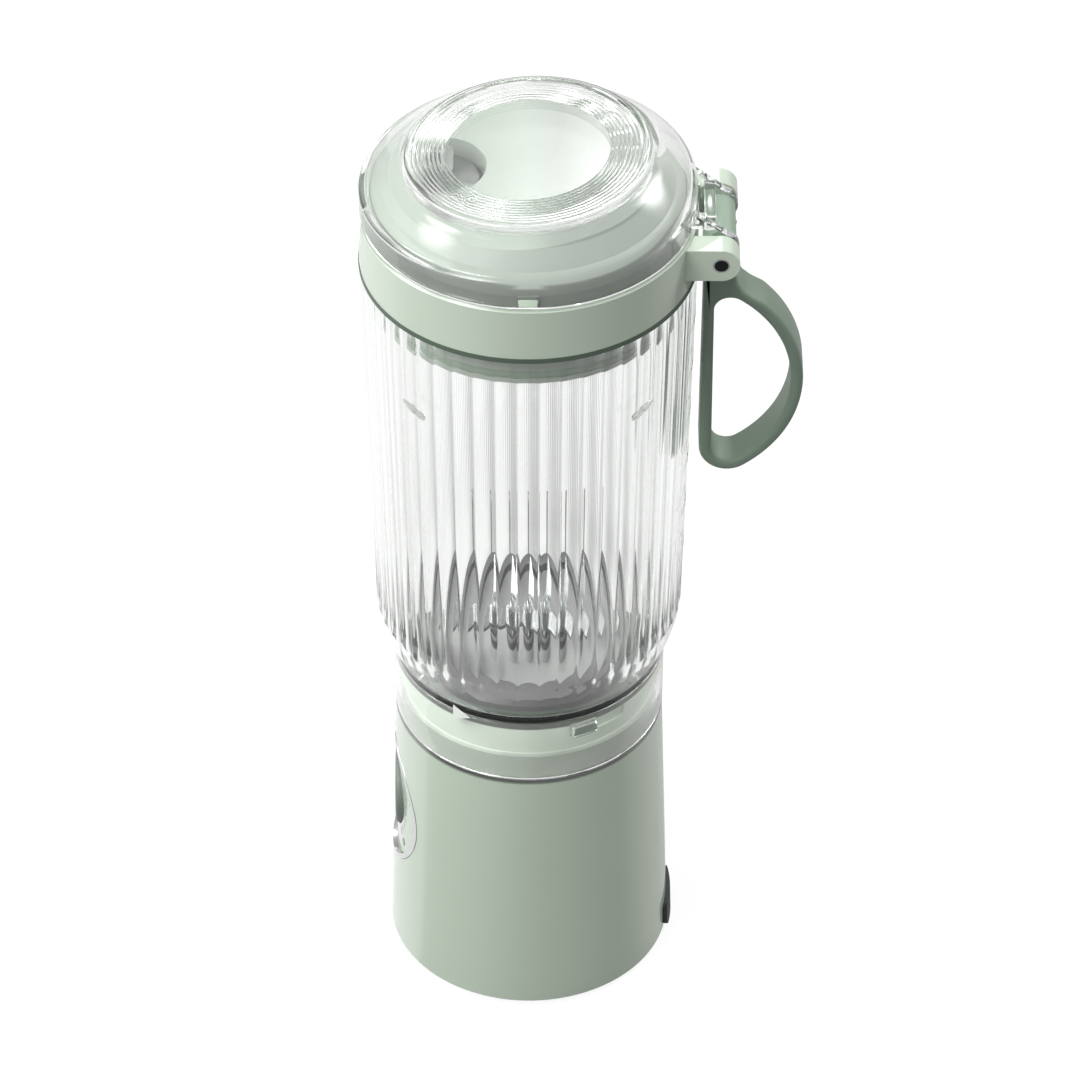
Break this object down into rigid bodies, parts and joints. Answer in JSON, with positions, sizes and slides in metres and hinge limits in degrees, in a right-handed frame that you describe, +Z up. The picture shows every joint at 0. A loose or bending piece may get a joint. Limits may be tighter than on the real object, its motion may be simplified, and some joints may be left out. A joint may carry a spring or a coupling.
{
  "type": "portable blender",
  "caption": "Cordless cup blender: fluted clear jar on a round motor base, screwed lid with hinged clear cap and a soft carry loop.",
  "frame": {"origin": "centre of the foot pad on the surface it stands on", "axes": "+Z up along the jar, -X to the front (control knob and spout), +X to the back (hinge, carry loop and charging port)"},
  "size_m": [0.1154, 0.0876, 0.2682],
  "materials": {
    "sage_shell": "satin",
    "sage_lid": "satin",
    "sage_neck": "satin",
    "clear_plastic": "polished",
    "bright_trim": "polished",
    "knob_grey": "satin",
    "dark_rubber": "matte",
    "green_silicone": "matte",
    "loop_silicone": "matte",
    "stopper_silicone": "satin",
    "carrier_grey": "satin",
    "nut_dark": "satin",
    "blade_steel": "brushed",
    "motor_steel": "satin",
    "screw_steel": "satin",
    "magnet_nickel": "polished",
    "bronze": "satin",
    "inner_plastic": "matte",
    "cell_wrap": "satin",
    "board_green": "satin"
  },
  "bodies": {
    "base": {"base_shell": "sage_shell", "bottom_cover": "sage_shell", "foot_pad": "dark_rubber", "base_screws": "screw_steel", "trim_ring": "bright_trim", "top_deck": "sage_neck", "motor_can": "motor_steel", "motor_bracket": "motor_steel", "motor_screws": "screw_steel", "bracket_screws": "screw_steel", "battery_cells": "cell_wrap", "battery_cradle": "inner_plastic", "control_bezel": "bright_trim", "control_plate": "sage_shell", "rotary_switch": "inner_plastic", "control_board": "board_green", "usb_socket": "motor_steel", "charge_board": "board_green", "interlock_sensor": "inner_plastic"},
    "drive": {"motor_shaft": "motor_steel", "drive_coupler": "inner_plastic"},
    "knob": {"control_knob": "knob_grey", "knob_shaft": "inner_plastic"},
    "port_flap": {"port_cover": "dark_rubber"},
    "jar": {"jar": "clear_plastic", "carrier_gasket": "green_silicone", "blade_carrier": "carrier_grey", "carrier_nut": "nut_dark", "interlock_magnet": "magnet_nickel", "bearing_bush": "bronze", "shaft_seal": "dark_rubber"},
    "blades": {"blade_shaft": "blade_steel", "lower_blade": "blade_steel", "upper_blade": "blade_steel", "blade_nut": "blade_steel", "driven_coupler": "inner_plastic"},
    "lid": {"lid_collar": "sage_lid", "collar_gasket": "green_silicone", "lid_deck": "sage_lid", "lid_seal": "green_silicone", "hinge_pin": "motor_steel", "pin_ferrules": "bright_trim", "pin_caps": "inner_plastic"},
    "cap": {"flip_cap": "clear_plastic", "spout_stopper": "stopper_silicone"},
    "loop": {"carry_loop": "loop_silicone", "hinge_barrel": "sage_lid"}
  },
  "joints": [
    {"name": "drive_spin", "type": "hinge", "parent": "base", "child": "drive", "pos_m": [0, 0, 0.08], "axis": [0, 0, 1], "continuous": true},
    {"name": "jar_lift", "type": "slide", "parent": "base", "child": "jar", "axis": [0, 0, 1], "range_m": [0, 0.06]},
    {"name": "blade_spin", "type": "hinge", "parent": "jar", "child": "blades", "pos_m": [0, 0, 0.1], "axis": [0, 0, 1], "continuous": true},
    {"name": "lid_lift", "type": "slide", "parent": "jar", "child": "lid", "axis": [0, 0, 1], "range_m": [0, 0.04]},
    {"name": "cap_hinge", "type": "hinge", "parent": "lid", "child": "cap", "pos_m": [0.0492, 0, 0.2424], "axis": [0, 1, 0], "range_deg": [0, 110]},
    {"name": "loop_swing", "type": "hinge", "parent": "lid", "child": "loop", "pos_m": [0.0492, 0, 0.2424], "axis": [0, 1, 0], "range_deg": [-110, 0]},
    {"name": "knob_turn", "type": "hinge", "parent": "base", "child": "knob", "pos_m": [-0.034, 0, 0.0477], "axis": [-1, 0, 0], "range_deg": [0, 270]},
    {"name": "port_flap_bend", "type": "hinge", "parent": "base", "child": "port_flap", "pos_m": [0.0386, 0, 0.0092], "axis": [0, 1, 0], "range_deg": [-95, 0]}
  ],
  "couplings": [
    {"joint": "drive_spin", "follows": "blade_spin", "ratio": 1}
  ]
}
